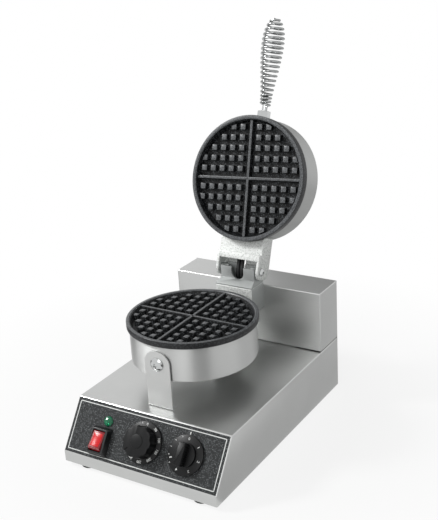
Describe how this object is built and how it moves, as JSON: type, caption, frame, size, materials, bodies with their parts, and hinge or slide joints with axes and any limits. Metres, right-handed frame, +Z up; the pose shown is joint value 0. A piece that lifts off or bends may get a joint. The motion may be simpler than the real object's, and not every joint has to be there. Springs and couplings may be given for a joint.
{
  "type": "round waffle maker",
  "caption": "Countertop waffle maker with a round hinged lid standing open on a boxed steel base, wire coil handle, sloped panel with rocker switch, lamp and two dials.",
  "frame": {"origin": "on the worktop, at the centre of the footprint of the part at rest", "axes": "+X to the right seen from the control panel, +Y towards the rear, +Z up"},
  "size_m": [0.25, 0.4486, 0.5599],
  "materials": {
    "brushed_steel": "fine grained stainless sheet",
    "polished_steel": "bright steel",
    "zinc_steel": "plated steel",
    "cast_plate": "dark seasoned casting",
    "cast_hinge": "pebbled casting",
    "overlay_film": "dark speckled film",
    "black_plastic": "moulded",
    "red_plastic": "translucent moulded",
    "green_plastic": "translucent moulded",
    "foot_rubber": "plain",
    "sleeve_rubber": "smooth sleeving",
    "mineral_board": "pressed fibre board",
    "element_steel": "heat dulled tube",
    "terminal_plastic": "moulded",
    "lamp_glass": "clear"
  },
  "bodies": {
    "base": {"base_housing": "brushed_steel", "bottom_plate": "zinc_steel", "feet": "foot_rubber", "foot_screws": "zinc_steel", "control_overlay": "overlay_film", "rear_box": "brushed_steel", "rear_box_screws": "zinc_steel", "rear_cover": "brushed_steel", "cover_screws": "polished_steel", "cord_gland": "black_plastic", "gland_nut": "black_plastic", "neck": "cast_hinge", "neck_screws": "zinc_steel", "lower_hinge": "cast_hinge", "hinge_bolts": "polished_steel", "hinge_washers": "polished_steel", "front_bracket": "brushed_steel", "rear_bracket": "brushed_steel", "bracket_screws": "zinc_steel", "pan_bolts": "polished_steel", "lower_drum": "brushed_steel", "lower_plate": "cast_plate", "lower_element": "element_steel", "lower_element_clamp": "zinc_steel", "lower_insulation": "mineral_board", "lower_tie_screws": "zinc_steel", "lead_conduit": "zinc_steel", "base_leads": "sleeve_rubber", "terminal_block": "terminal_plastic", "rocker_case": "black_plastic", "lamp_lens": "green_plastic", "lamp_bulb": "lamp_glass", "thermostat_body": "terminal_plastic", "timer_body": "terminal_plastic", "bush_nuts": "zinc_steel"},
    "lid": {"upper_drum": "brushed_steel", "upper_plate": "cast_plate", "upper_element": "element_steel", "upper_element_clamp": "zinc_steel", "upper_insulation": "mineral_board", "upper_tie_screws": "polished_steel", "lid_hinge": "cast_hinge", "lid_hinge_screws": "zinc_steel", "lid_leads": "sleeve_rubber", "handle": "polished_steel", "handle_lock_nut": "zinc_steel"},
    "rocker_key": {"rocker": "red_plastic"},
    "thermostat_dial": {"thermostat_knob": "black_plastic", "thermostat_shaft": "zinc_steel"},
    "timer_dial": {"timer_knob": "black_plastic", "timer_shaft": "zinc_steel"}
  },
  "joints": [
    {"name": "lid_hinge", "type": "hinge", "parent": "base", "child": "lid", "pos_m": [0, 0.07542, 0.2063], "axis": [1, 0, 0], "range_deg": [0, 110]},
    {"name": "rocker_pivot", "type": "hinge", "parent": "base", "child": "rocker_key", "pos_m": [-0.07, -0.20607, 0.04414], "axis": [1, 0, 0], "range_deg": [0, 21]},
    {"name": "thermostat_turn", "type": "hinge", "parent": "base", "child": "thermostat_dial", "pos_m": [-0.001, -0.2035, 0.05985], "axis": [0, 0.8154, -0.5789], "range_deg": [0, 300]},
    {"name": "timer_turn", "type": "hinge", "parent": "base", "child": "timer_dial", "pos_m": [0.067, -0.20368, 0.05961], "axis": [0, 0.8154, -0.5789], "range_deg": [0, 330]}
  ]
}
